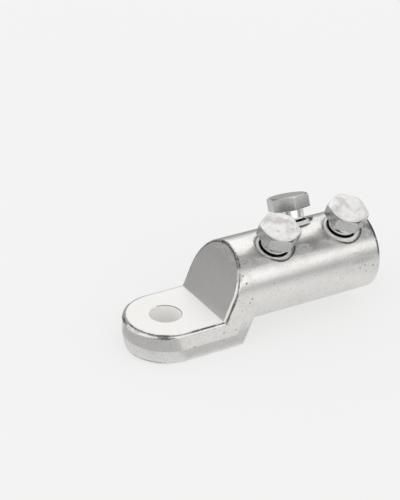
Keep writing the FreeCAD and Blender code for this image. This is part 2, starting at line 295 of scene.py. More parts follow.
def edge_polish(tree, place, given):
    """Broken mask along the rounded edges, where handling has polished the plate bright."""
    patches = noise(tree, place, given["Scale"], 3.0)
    least = minus(tree, 0.75, times(tree, given["Cover"], 0.5))
    wear_and_shade = map_range(tree, patches, least, 0.78, smooth=True)
    return times(tree, wear_and_shade, given["Edge"])


# Inputs of the shared effects, with their first values; each also has a Vector
EFFECT_INPUTS = {
    plating_mottle: {"Scale": 120.0, "Low": 0.35, "High": 0.7},
    metal_grain: {
        "Grain Scale": 2200.0, "Line Stretch": (40.0, 1500.0, 1500.0), "Grain Share": 0.6, "Line Share": 0.4,
        "Swell Share": 0.5},
    casting_pits: {"Scale": 260.0, "Size": 0.16, "Share": 0.04},
    scuff: {"Centre": None, "Radius": 0.0008},
    painted_ring_line: {
        "Point": None, "Axis": (0.0, 0.0, 1.0), "Radius": 0.01, "Half Width": 0.0004, "Break Up": 0.5,
        "Side": (1.0, 0.0, 0.0), "Side Reach": 0.5, "Away": 0.0},
    speckled_patch: {"Centre": None, "Spread": (200.0, 200.0, 200.0), "Scale": 2400.0},
    edge_polish: {"Edge": 0.0, "Scale": 500.0, "Cover": 0.6},
}
EFFECTS = {}


def effect_group(maker):
    """Node group of one shared effect."""
    group = bpy.data.node_groups.new(maker.__name__, "ShaderNodeTree")
    for label, first in {"Vector": None, **EFFECT_INPUTS[maker]}.items():
        kind = FLOAT if isinstance(first, float) else VECTOR
        socket = group.interface.new_socket(name=label, in_out="INPUT", socket_type=kind)
        if first is not None:
            socket.default_value = first
    group.interface.new_socket(name="Result", in_out="OUTPUT", socket_type=FLOAT)
    given = group.nodes.new("NodeGroupInput").outputs
    add_node(group, "NodeGroupOutput", {"Result": maker(group, given["Vector"], given)})
    return group


def effect(tree, maker, place, inputs):
    """Result socket of a shared effect with its own values; each effect's group is built once."""
    if maker not in EFFECTS:
        EFFECTS[maker] = effect_group(maker)
    node = add_node(tree, "ShaderNodeGroup", {"Vector": place, **inputs}, node_tree=EFFECTS[maker])
    return node.outputs[0]


# Values of each metal's mottle, flecks, grain, pits and polished edges, and the depth of its bumps
LOOK_INPUTS = (
    ("Scale", "Low", "High"), ("Scale", "Low", "High"),
    ("Grain Scale", "Line Stretch", "Grain Share", "Line Share", "Swell Share"),
    ("Scale", "Size", "Share"), ("Scale", "Cover"))
ALONG_X = (60, 900, 900)
DRILLED = (50, 50, 3600)
TURNED = (600, 600, 2600)
METAL_LOOKS = {
    "tin_plate": ((95, 0.42, 0.80), (1000, 0.50, 0.74), (2600, ALONG_X, 0.5, 0.35, 1),
        (210, 0.13, 0.035), (420, 0), 0.00006),
    "leaning_face": ((95, 0.42, 0.80), (700, 0.60, 0.90), (2600, ALONG_X, 0.5, 0.35, 1),
        (210, 0.13, 0.02), (420, 0), 0.00006),
    "palm_face": ((80, 0.5, 0.9), (1100, 0.58, 0.85), (2600, ALONG_X, 0.3, 0.3, 0.4),
        (240, 0.1, 0.02), (420, 0.3), 0.00004),
    "machined_bore": ((160, 0.4, 0.75), (900, 0.55, 0.8), (1800, (3200, 50, 50), 0.25, 0.8, 0.2),
        (260, 0.1, 0.01), (420, 0.6), 0.00005),
    "countersink": ((260, 0.45, 0.8), (900, 0.55, 0.8), (2000, DRILLED, 0.2, 0.6, 0.15),
        (300, 0.1, 0.01), (420, 0.8), 0.00004),
    "stud_hole": ((260, 0.45, 0.8), (900, 0.6, 0.85), (2000, DRILLED, 0.2, 0.6, 0.15),
        (300, 0.1, 0.01), (420, 0.8), 0.00004),
    "hole_edge": ((400, 0.4, 0.7), (1300, 0.55, 0.8), (2400, (600, 600, 600), 0.3, 0.3, 0.2),
        (300, 0.1, 0.01), (420, 0.2), 0.00003),
    "bolt_facet": ((210, 0.42, 0.75), (1300, 0.55, 0.8), (2400, (500, 500, 500), 0.35, 0.3, 0.7),
        (300, 0.12, 0.02), (600, 1), 0.00005),
    "bolt_top": ((125, 0.42, 0.66), (480, 0.52, 0.80), (1500, (700, 700, 700), 0.7, 0.3, 2.2),
        (260, 0.16, 0.05), (600, 1), 0.00008),
    "bolt_thread": ((300, 0.4, 0.7), (1300, 0.55, 0.8), (3000, TURNED, 0.3, 0.4, 0.1),
        (400, 0.1, 0.01), (900, 1), 0.00003),
    "groove_shade": ((300, 0.4, 0.7), (1300, 0.55, 0.8), (3000, TURNED, 0.3, 0.4, 0.1),
        (400, 0.1, 0.01), (900, 0), 0.00003),
    "bolt_neck": ((300, 0.4, 0.7), (1300, 0.6, 0.85), (3000, TURNED, 0.2, 0.3, 0.1),
        (400, 0.1, 0.01), (900, 0.2), 0.00002),
}
# Colour of the painted highlight along the leaning face's roundings
EDGE_HIGHLIGHT_COLOUR = (0.98, 0.975, 0.96)
# Colour of the painted highlights on the hole rims
RIM_HIGHLIGHT_COLOUR = (0.99, 0.985, 0.97)
LESS_METALLIC = 0.85
SPECK_SHARE = 0.45


def bright_mark(tree, mask, colour, metallic, tone):
    """Colour and metallic share with a painted highlight on top: a bright and less mirror-like mark."""
    less = times(tree, mask, LESS_METALLIC)
    return mix_colour(tree, mask, colour, tone), minus(tree, metallic, less, clamp=True)


def edge_grime_and_shade(tree, place, edge):
    """Mask of a broken dark band along the middle of the rounded edges: painted shade, a dark reflection
    band, with some grime.
    """
    dirt = effect(tree, plating_mottle, place, {"Scale": 520.0, "Low": 0.22, "High": 0.52})
    uneven = effect(tree, plating_mottle, place, {"Scale": 110.0, "Low": 0.36, "High": 0.60})
    least = minus(tree, 0.55, times(tree, uneven, 0.40))
    middle = map_range(tree, edge, least, plus(tree, least, 0.40), smooth=True)
    return times(tree, dirt, middle)


def mouth_line(tree, place):
    """Mask of the dark line along the upper half of the barrel's mouth."""
    parts = add_node(tree, "ShaderNodeSeparateXYZ", {"Vector": place}).outputs
    rim = map_range(tree, parts["X"], LUG_HIGH.x - 0.0021, LUG_HIGH.x - 0.0011, smooth=True)
    upper = map_range(tree, parts["Z"], 0.031, 0.036, smooth=True)
    rough_rim = map_range(tree, noise(tree, place, 600.0, 3.0), 0.3, 0.5, 0.6, 1.0)
    return times(tree, times(tree, rim, upper), rough_rim)


def metal_material(
        name, colours, roughness, metallic=1.0, outer=False, scuffs=(), ring_lines=(), bright_lines=(),
        patches=(), painted_fade=None):
    """Plated metal with its looks from the table; the outer plate has a dark band of painted shade and grime
    along its roundings, a painted highlight along the leaning face's roundings and a line at the mouth.
    """
    plate, stain, pit = colours
    *rows, bump_depth = METAL_LOOKS[name]
    mottle, flecks, grain, pits, polish = [dict(zip(keys, row)) for keys, row in zip(LOOK_INPUTS, rows)]
    material = bpy.data.materials.new(name)
    tree = empty_tree(material)
    place = tree.nodes.new("ShaderNodeTexCoord").outputs["Object"]
    edge = add_node(tree, "ShaderNodeAttribute", attribute_name=ROUND_EDGE).outputs["Fac"]
    mottle_mask = effect(tree, plating_mottle, place, mottle)
    grain_height = effect(tree, metal_grain, place, grain)
    pit_mask = effect(tree, casting_pits, place, pits)
    polish_mask = effect(tree, edge_polish, place, {"Edge": edge, **polish})
    fleck_mask = effect(tree, plating_mottle, place, flecks)
    colour = mix_colour(tree, mottle_mask, plate, stain)
    colour = mix_colour(tree, fleck_mask, colour, tinted(stain, 0.79))
    colour = mix_colour(tree, polish_mask, colour, tinted(plate, 1.1))
    # Painted light and shade: the colour fades toward a tone along one axis
    if painted_fade:
        axis, start, end, share, tone = painted_fade
        spot = add_node(tree, "ShaderNodeSeparateXYZ", {"Vector": place}).outputs[axis]
        colour = mix_colour(tree, map_range(tree, spot, start, end, 0.0, share), colour, tone)
    if outer:
        # Painted shade with some grime: a broken dark band along the roundings
        colour = mix_colour(tree, edge_grime_and_shade(tree, place, edge), colour, tinted(pit, 0.8))
        # Painted highlight along the leaning face's roundings
        edge_highlight = add_node(tree, "ShaderNodeAttribute", attribute_name=HIGHLIGHT_EDGE).outputs["Fac"]
        colour, metallic = bright_mark(tree, edge_highlight, colour, metallic, EDGE_HIGHLIGHT_COLOUR)
    for x, y, z, radius in scuffs:
        mark = effect(tree, scuff, place, {"Centre": (x * MM, y * MM, z * MM), "Radius": radius * MM})
        pit_mask = maths(tree, "MAXIMUM", pit_mask, mark)
    for centre, radii in patches:
        specks = effect(tree, speckled_patch, place, {
            "Centre": [c * MM for c in centre], "Spread": [1 / (r * MM) for r in radii]})
        pit_mask = maths(tree, "MAXIMUM", pit_mask, times(tree, specks, SPECK_SHARE))
    # Dark ring lines are painted shade along the hole rims, bright ring lines are painted highlights
    dark_lines = [effect(tree, painted_ring_line, place, line) for line in ring_lines]
    for line in bright_lines:
        bright = effect(tree, painted_ring_line, place, line)
        colour, metallic = bright_mark(tree, bright, colour, metallic, RIM_HIGHLIGHT_COLOUR)
    if outer:
        dark_lines.append(mouth_line(tree, place))
    for line in dark_lines:
        colour = mix_colour(tree, line, colour, tinted(pit, 0.45))
    colour = mix_colour(tree, pit_mask, colour, pit)
    rough = plus(tree, roughness, times(tree, mottle_mask, 0.09))
    rough = minus(tree, rough, times(tree, polish_mask, roughness * 0.35))
    rough = plus(tree, rough, times(tree, pit_mask, 0.35), clamp=True)
    height = minus(tree, grain_height, times(tree, pit_mask, 2.5))
    bump = add_node(tree, "ShaderNodeBump", {"Height": height, "Distance": bump_depth})
    shader = add_node(tree, "ShaderNodeBsdfPrincipled", {
        "Base Color": colour, "Metallic": metallic, "Roughness": rough, "Normal": bump.outputs["Normal"]})
    add_node(tree, "ShaderNodeOutputMaterial", {"Surface": shader.outputs["BSDF"]})
    return material


# Scuffs and pits that the photograph shows: place on the surface and radius, in millimetres
SCUFFS = [
    (35.5, -20.5, 36.7, 0.7), (38.4, -22.4, 27.7, 0.6), (37.1, -22.3, 25.7, 0.55), (106.0, -22.4, 28.4, 0.6),
    (109.2, -22.3, 29.4, 0.5), (114.5, -22.4, 28.0, 0.65), (110.3, -22.3, 25.4, 0.45),
    (34.5, -18.5, 40.4, 0.6), (22.0, -22.4, 12.0, 0.6), (22.2, -22.4, 7.1, 0.55), (4.9, -22.4, 8.5, 0.5),
    (-0.3, -22.4, 5.3, 0.6), (17.5, -22.4, 5.4, 0.4), (29.3, -22.4, 11.7, 0.45),
]

# Fields of dark specks that the photograph shows: place on the surface and spreads, in millimetres
STAINS = [
    ((-10.7, -19.7, 16.3), (7, 7, 2.6)), ((-20.9, -7.2, 16.8), (3, 4, 1.8)),
    ((38.5, -13.8, 45.4), (4.5, 4.5, 5)), ((108, -21.9, 32.6), (16, 5, 3.2)),
    ((74, -14.5, 44.6), (7, 4, 4)), ((97, -15, 44), (9, 4, 4)),
    ((112, -15, 44), (7, 6, 5)), ((31.5, -18, 40), (4, 4, 7)),
]

# Fields of dark specks on the leaning face
FACE_STAINS = [
    ((34.3, -3.5, 46.8), (3, 12, 3.4)), ((33.2, -11, 43.6), (3, 5, 4.5)),
    ((34, 9, 46.2), (3, 7, 3)),
]

# Ring lines round the tapped holes, painted shade and painted highlights on the rims: half widths of the
# dark ones, then the side where they give way to a bright line, and the side of the second bright line
DARK_LINE_HALVES = (0.00065, 0.0011, 0.00065)
OPEN_SIDE = math.radians(115)
LOW_SIDE = math.radians(-60)


def hole_rings(places):
    """Painted shade and painted highlight ring lines round the tapped holes, from the places of the bolts.
    """
    dark, bright = [], []
    for place, half in zip(places, DARK_LINE_HALVES):
        turn = place.to_3x3()
        open_side, low_side = [turn @ Vector((math.cos(a), math.sin(a), 0)) for a in (OPEN_SIDE, LOW_SIDE)]
        axis = turn @ Vector((0, 0, 1))
        line = {"Point": place.translation, "Axis": axis, "Side": open_side, "Side Reach": 0.6}
        dark.append({**line, "Radius": 0.0107, "Half Width": half, "Break Up": 0.15, "Away": 1.0})
        bright.append({**line, "Radius": 0.0116, "Half Width": 0.0015, "Break Up": 0.2})
        bright.append({
            **line, "Radius": 0.0101, "Half Width": 0.0008, "Break Up": 0.0, "Side": low_side,
            "Side Reach": 0.75})
    return dark, bright


def lug_materials(chosen, places):
    """Materials of the lug body, in the order of the slots PLATE to SHADED_RIM."""
    dark, bright = hole_rings(places)
    tin, stain, pit = chosen.plate_colour, chosen.stain_colour, chosen.pit_colour
    colours = (tin, stain, pit)
    # Near-black colour of the painted shade on the far side of the stud hole's rim
    wear_and_shade = tinted(tin, 0.22)
    plate = metal_material(
        "tin_plate", colours, chosen.roughness, outer=True, scuffs=SCUFFS, ring_lines=dark,
        bright_lines=bright, patches=STAINS)
    # The leaning face is painted darker towards its foot: painted shade
    leaning = metal_material(
        "leaning_face", colours, chosen.roughness, patches=FACE_STAINS,
        painted_fade=("Z", 0.034, 0.018, 0.85, tinted(tin, 0.80)))
    # The palm is painted lighter towards the leaning face: painted light against the shade there
    face = metal_material(
        "palm_face", (tinted(tin, 1.01), tin, pit), chosen.roughness + 0.12, metallic=0.12,
        painted_fade=("X", -0.002, 0.0200, 1.0, (0.995, 0.99, 0.975)))
    bore = metal_material("machined_bore", colours, chosen.roughness + 0.08)
    sink = metal_material(
        "countersink", colours, chosen.roughness - 0.06, ring_lines=dark, bright_lines=bright)
    # The stud hole is coloured lighter than the plate: painted light inside the hole
    stud_hole = metal_material(
        "stud_hole", (tinted(tin, 1.08), tin, pit), chosen.roughness + 0.1, metallic=0.0)
    hole_edge = metal_material("hole_edge", (wear_and_shade, tinted(wear_and_shade, 0.7), pit), chosen.roughness)
    return [plate, bore, sink, stud_hole, face, leaning, hole_edge]


SMUDGE_SHARES = (0.78, 0.755, 0.745)
BOLT_PIT = (0.22, 0.215, 0.21)


def bolt_materials(chosen):
    """Materials of the bolts, in the order of the slots FACET to NECK."""
    smudge = [c * share for c, share in zip(chosen.top_colour, SMUDGE_SHARES)]
    facet, plug = chosen.facet_colour, chosen.plug_colour
    return [
        metal_material("bolt_facet", (facet, tinted(facet, 0.84), BOLT_PIT), chosen.roughness),
        metal_material("bolt_top", (chosen.top_colour, smudge, (0.5, 0.47, 0.46)), 0.34),
        metal_material("bolt_thread", (plug, tinted(plug, 0.85), BOLT_PIT), chosen.roughness, metallic=0.1),
        # Near-black painted shade in the breaking groove and on the recess round the neck's foot
        metal_material("groove_shade", [(0.03,) * 3, (0.02,) * 3, (0.015,) * 3], 0.5),
        metal_material("bolt_neck", (plug, tinted(plug, 0.9), BOLT_PIT), 0.14),
    ]


# Lug body


BoltPlace = namedtuple("BoltPlace", "name body lean turn drawn_corners")
BOLT_PLACES = [
    BoltPlace("shear_bolt_1", "bolt_1", 21.5, 32.4, (3, 4)),
    BoltPlace("shear_bolt_2", "bolt_2", -23.2, 16.2, (3, 4, 5)),
    BoltPlace("shear_bolt_3", "bolt_3", 21.5, 26.1, (3, 4)),
]
ROUND_EDGE = "edge"
HIGHLIGHT_EDGE = "edge_highlight"
FACE_LEAN = math.radians(22.4)
FLAT_WAYS = [Vector((0, 0, 1)), Vector((0, 0, -1)), Vector((-math.cos(FACE_LEAN), 0, math.sin(FACE_LEAN)))]
PLATE, BORE, SINK, STUD_HOLE, PALM, LEANING, SHADED_RIM = range(7)
BORE_REACH = 0.0745
SINK_REACH = 0.0127
SINK_DEPTH = 0.0065
RIM_REACH = 0.0003
CROWN_START = 0.039
CROWN_RISE = 0.006
PALM_SIDES_START = 0.004
PALE_EDGE = 0.62
NEXT_ARC_SHARE = 0.85
DARKEST_ARC = (182, 215)
NEXT_ARC_END = 262


def bolt_matrix(bolt, chosen):
    """Place of one bolt: its own Z runs outwards through the barrel's axis, its foot at zero."""
    turn = Matrix.Rotation(math.radians(bolt.lean), 4, "X")
    along = (turn @ Vector((0, 0, 1, 0))).to_3d()
    corners = [v.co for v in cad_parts[bolt.name].data.vertices]
    station = sum(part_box(bolt.name), Vector()).x / 2
    axis_point = Vector((station, 0, chosen.axis_height))
    foot = min((c - axis_point).dot(along) for c in corners)
    return Matrix.Translation(axis_point + along * foot) @ turn


def palm_edge_share(point):
    """How strong the dark band of painted shade and grime on the palm's rounded edge is at one place:
    strongest at the front left, paler elsewhere.
    """
    if point.x > PALM_SIDES_START:
        return PALE_EDGE
    round_end = math.degrees(math.atan2(point.y, point.x)) % 360
    start, end = DARKEST_ARC
    if start <= round_end < end:
        return 1.0
    return NEXT_ARC_SHARE if end <= round_end <= NEXT_ARC_END else PALE_EDGE


def peak(value, middle, reach):
    """One at the middle, falling to nothing at the reach on both sides."""
    return max(0.0, 1.0 - abs(value - middle) / reach)


def rounding_shares(normal, point):
    """Shares of the dark band, painted shade with grime, and of the painted highlight on a rounding, from
    how far it has turned from its flat face to the wall.
    """
    turns = [math.acos(max(-1.0, min(1.0, normal.dot(way)))) * 2 / math.pi for way in FLAT_WAYS]
    turned = min(turns)
    if turned == turns[2]:
        crown = min(1.0, max(0.0, (point.z - CROWN_START) / CROWN_RISE)) if point.y < 0 else 1.0
        dark = peak(turned, 0.68, 0.30) * (1.0 - crown) + 0.9 * peak(turned, 0.22, 0.32) * crown
        return dark, peak(turned, 0.22, 0.24) * (1.0 - crown)
    return peak(turned, 0.38, 0.34) * palm_edge_share(point), 0.0


def mark_round_edges(mesh, least_bend):
    """Writes the two edge attributes, the dark band of painted shade and grime and the painted highlight, on
    faces that bend tightly outwards, as edge roundings do.
    """
    dark_marks = mesh.attributes.new(ROUND_EDGE, "FLOAT", "CORNER")
    highlight_marks = mesh.attributes.new(HIGHLIGHT_EDGE, "FLOAT", "CORNER")
    normals = [Vector(item.vector) for item in mesh.corner_normals]
    spots = [mesh.vertices[loop.vertex_index].co for loop in mesh.loops]
    values = [(0.0, 0.0)] * len(mesh.loops)
    for polygon in mesh.polygons:
        loops = list(polygon.loop_indices)
        bend = 0.0
        for start, end in zip(loops, loops[1:] + loops[:1]):
            way = spots[end] - spots[start]
            if way.length > 0:
                bend = max(bend, (normals[end] - normals[start]).dot(way) / way.length_squared * MM)
        if bend > least_bend:
            for loop in loops:
                values[loop] = rounding_shares(normals[loop], spots[loop])
    dark, edge_highlight = zip(*values)
    dark_marks.data.foreach_set("value", dark)
    highlight_marks.data.foreach_set("value", edge_highlight)


def is_bore(centre, normal, chosen):
    """True for a face of the cable bore."""
    across = Vector((0, centre.y, centre.z - (chosen.axis_height - chosen.bore_drop)))
    if centre.x < LUG_HIGH.x - BORE_REACH or across.length >= chosen.bore_radius + 0.00002:
        return False
    return normal.dot(across) <= 0.0 or abs(normal.x) > 0.5


def is_drilled(centre, normal, places):
    """True for a face of a tapped hole or of a countersink."""
    for place in places:
        local = place.inverted() @ centre
        facing = place.to_3x3().inverted() @ normal
        reach = math.hypot(local.x, local.y)
        inward = facing.x * local.x + facing.y * local.y
        if reach < SINK_REACH and -SINK_DEPTH < local.z and inward < -0.5 * reach:
            return True
    return False


def face_slot(centre, normal, chosen, places):
    """Material slot of one face of the lug body, from where it lies and which way it looks."""
    if is_bore(centre, normal, chosen) or normal.x > 0.99:
        return BORE
    if is_drilled(centre, normal, places):
        return SINK
    if math.hypot(centre.x, centre.y) < chosen.palm_hole_radius + RIM_REACH:
        # The rim chamfer on the far right side of the stud hole takes the painted shade
        if 0.3 < normal.z < 0.9 and centre.x * 0.95 + centre.y * 0.15 > 0.001:
            return SHADED_RIM
        if abs(normal.z) < 0.9:
            return STUD_HOLE
    if normal.z > 0.999:
        return PALM
    return LEANING if normal.dot(FLAT_WAYS[2]) > 0.999 else PLATE


def link_piece(name, mesh, materials):
    """New object at the origin for a finished mesh, whose faces already carry their slots."""
    if mesh.materials:
        mesh.materials.clear()
    for material in materials:
        mesh.materials.append(material)
    piece = bpy.data.objects.new(name, mesh)
    bpy.context.scene.collection.objects.link(piece)
    return piece


class CABLELUG_OT_body(bpy.types.Operator):
    """Dress the one-piece lug body in satin tin plate"""

    bl_idname = "cable_lug.body"
    bl_label = "Lug body"

    def execute(self, context):
        chosen = context.scene.cable_lug_body
        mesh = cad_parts["lug_body"].data.copy()
        mesh.name = "lug_body_plated"
        mesh.materials.clear()
        places = [bolt_matrix(bolt, chosen) for bolt in BOLT_PLACES]
        piece = link_piece("lug_body_plated", mesh, lug_materials(chosen, places))
        mark_round_edges(mesh, chosen.edge_bend)
        for polygon in mesh.polygons:
            polygon.material_index = face_slot(polygon.center, polygon.normal, chosen, places)
        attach(piece, "lug")
        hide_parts("lug_body")
        return {"FINISHED"}


# Shear bolts


FACET, TOP, THREAD, GROOVE_SHADE, NECK = range(5)
THREAD_DEPTH_SHARE = 0.61
NECK_BLEND = 0.0005
UNDER_LIP = 0.00022
CHAMFER_SLOPE = math.tan(math.radians(30))
SECTOR = math.pi / 3
HALF_SECTOR = math.pi / 6
CORNER_STEPS = (2.2, 4.5, 8, 13, 18, 24)
LEAST_ROUNDING = 0.00003
FOOT_CHAMFER = 0.0004
RIM_HEIGHT = 0.0012
RIM_INSET = 0.0008
RIM_ROUNDING = 0.0003
LIP_HEIGHT = 0.0011
EDGE_SUPPORT = 0.0001
UNDER_BAND = 0.0006
FLAT_BAND = 0.0007
LEAST_SHOULDER = 0.00012
TOP_SHARES = (0.992, 0.97, 0.8, 0.55, 0.3, 0.12)


def corner_touch(half_flat, rounding):
    """Distance to a corner rounding's middle, and the angle at which the rounding meets the flat."""
    reach = (half_flat - rounding) / math.cos(HALF_SECTOR)
    return reach, HALF_SECTOR - math.atan(reach * math.sin(HALF_SECTOR) / half_flat)


def hexagon_angles(chosen):
    """Angles of a ring's points, dense at the hexagon's corners."""
    touch = corner_touch(chosen.across_flats / 2, chosen.corner_rounding)[1]
    steps = [0.0, touch / 3, touch * 2 / 3, touch] + [math.radians(a) for a in CORNER_STEPS]
    sector = sorted([-a for a in steps[1:]] + steps) + [HALF_SECTOR]
    return [SECTOR * k + a for k in range(6) for a in sector]


def hexagon_reach(angle, chosen, inset=0.0):
    """Distance from the axis to the rounded hexagon's outline in one direction."""
    half_flat = chosen.across_flats / 2 - inset
    rounding = max(chosen.corner_rounding - inset, LEAST_ROUNDING)
    off = abs((angle + HALF_SECTOR) % SECTOR - HALF_SECTOR)
    reach, touch = corner_touch(half_flat, rounding)
    if off < touch:
        return reach * math.cos(off) + math.sqrt(rounding ** 2 - (reach * math.sin(off)) ** 2)
    return half_flat / math.cos(HALF_SECTOR - off)


def root_radius(chosen):
    """Radius of a plug at the bottom of its thread."""
    return chosen.thread_radius - chosen.thread_pitch * THREAD_DEPTH_SHARE


def round_rings(points, material, mark=0.0):
    """Rings of constant radius from pairs of radius and height."""
    return [(lambda angle, point=point: point, material, mark) for point in points]


def arc_points(centre_r, centre_z, radius, start, end, count):
    """Points of an arc in the half section, angles in degrees from the outward direction."""
    out = []
    for k in range(count + 1):
        a = math.radians(start + (end - start) * k / count)
        out.append((centre_r + radius * math.cos(a), centre_z + radius * math.sin(a)))
    return out


def bolt_rings(chosen, drawn_corners):
    """Rings of one bolt from its foot to its top, each with its material and edge mark."""
    root = root_radius(chosen)
    plug = chosen.plug_length
    neck_radius = chosen.neck_radius
    slim = neck_radius - chosen.groove_depth
    groove_top = plug + chosen.groove_height
    lip_top = groove_top + LIP_HEIGHT
    under = plug + chosen.neck_length
    top = under + chosen.head_height
    outer = chosen.thread_radius - RIM_INSET
    shank = [
        (root / 2, 0.0), (root - FOOT_CHAMFER, 0.0), (root, FOOT_CHAMFER), (root, plug - RIM_HEIGHT),
        (outer, plug - 2 * RIM_ROUNDING)]
    shank += arc_points(outer - RIM_ROUNDING, plug - RIM_ROUNDING, RIM_ROUNDING, 0, 90, 3)
    shank += [(chosen.recess_radius, plug)]
    notch = [
        (chosen.recess_radius - EDGE_SUPPORT, plug - 0.0003), (slim + 0.0003, plug - 0.0004), (slim, plug),
        (slim + EDGE_SUPPORT, plug + 0.0004), (neck_radius - 0.00008, groove_top - 0.00008)]
    neck = [(neck_radius, lip_top + EDGE_SUPPORT), (neck_radius, under - NECK_BLEND - 0.0004)]
    neck += arc_points(neck_radius + NECK_BLEND, under - NECK_BLEND, NECK_BLEND, 180, 90, 6)
    # The notch rings, from the recess into the breaking groove, carry the near-black painted shade
    rings = round_rings(shank, THREAD) + round_rings(notch, GROOVE_SHADE)
    rings += round_rings([(neck_radius, groove_top + EDGE_SUPPORT), (neck_radius, lip_top)], THREAD)
    rings += round_rings(neck, NECK)

    def outline(angle, inset=0.0):
        return hexagon_reach(angle, chosen, inset)

    def shoulder(angle):
        return top - max(LEAST_SHOULDER, (outline(angle) - chosen.top_radius) * CHAMFER_SLOPE)

    def finish(angle):
        """Painted shade on these corners' chamfers, in the darker facet colour; the top's finish on the
        others.
        """
        return FACET if round(angle / SECTOR) % 6 in drawn_corners else TOP

    rings.append((lambda a: (outline(a) - UNDER_BAND, under), FACET, 0.0))
    for tilt in [math.radians(-90 + 30 * k) for k in range(4)]:
        inset, rise = UNDER_LIP * (1 - math.cos(tilt)), UNDER_LIP * (1 + math.sin(tilt))
        rings.append((lambda a, inset=inset, height=under + rise: (outline(a, inset), height), FACET, 1.0))
    rings.append((lambda a: (outline(a), under + FLAT_BAND), FACET, 0.0))
    shoulder_rings = [
        (0.0, -FLAT_BAND, FACET, 0.0), (0.0, -LEAST_SHOULDER, FACET, 1.0), (0.00002, 0.0, FACET, 1.0),
        (0.00014, 0.00008, finish, 0.6)]
    for cut, rise, material, mark in shoulder_rings:
        rings.append((
            lambda a, cut=cut, rise=rise: (outline(a) - cut, shoulder(a) + rise), material, mark))
    rings += round_rings([(chosen.top_radius + 0.00006, top - 0.00004)], finish, 0.6)
    face = [(chosen.top_radius * share, top) for share in TOP_SHARES]
    return rings + round_rings(face, TOP)


def ring_mesh(name, rings, angles, end_height):
    """Closed mesh through rings from the first pole to the last."""
    shape = bmesh.new()
    edge = shape.verts.layers.float.new(ROUND_EDGE)
    rows = []
    first = shape.verts.new((0, 0, rings[0][0](0)[1]))
    for ring, material, mark in rings:
        row = []
        for angle in angles:
            reach, height = ring(angle)
            vert = shape.verts.new((reach * math.cos(angle), reach * math.sin(angle), height))
            vert[edge] = mark
            row.append(vert)
        rows.append(row)
    last = shape.verts.new((0, 0, end_height))
    count = len(angles)
    for k in range(count):
        shape.faces.new((first, rows[0][(k + 1) % count], rows[0][k]))
        cap = shape.faces.new((last, rows[-1][k], rows[-1][(k + 1) % count]))
        cap.material_index = rings[-1][1]
    for lower, upper, above in zip(rows, rows[1:], rings[1:]):
        finish = above[1]
        for k in range(count):
            after = (k + 1) % count
            face = shape.faces.new((lower[k], lower[after], upper[after], upper[k]))
            face.material_index = finish(angles[k]) if callable(finish) else finish
    bmesh.ops.recalc_face_normals(shape, faces=shape.faces)
    mesh = bpy.data.meshes.new(name)
    shape.to_mesh(mesh)
    shape.free()
    mesh.shade_smooth()
    return mesh


class CABLELUG_OT_bolts(bpy.types.Operator):
    """Make the three turned shear bolts with hexagon heads and breaking necks"""

    bl_idname = "cable_lug.bolts"
    bl_label = "Shear bolts"

    def execute(self, context):
        chosen = context.scene.cable_lug_bolts
        lug = context.scene.cable_lug_body
        materials = bolt_materials(chosen)
        angles = hexagon_angles(chosen)
        end_height = chosen.plug_length + chosen.neck_length + chosen.head_height
        for bolt in BOLT_PLACES:
            name = bolt.name + "_turned"
            mesh = ring_mesh(name, bolt_rings(chosen, bolt.drawn_corners), angles, end_height)
            mesh.transform(bolt_matrix(bolt, lug) @ Matrix.Rotation(math.radians(bolt.turn), 4, "Z"))
            piece = link_piece(name, mesh, materials)
            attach(piece, bolt.body)
            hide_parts(bolt.name)
        return {"FINISHED"}


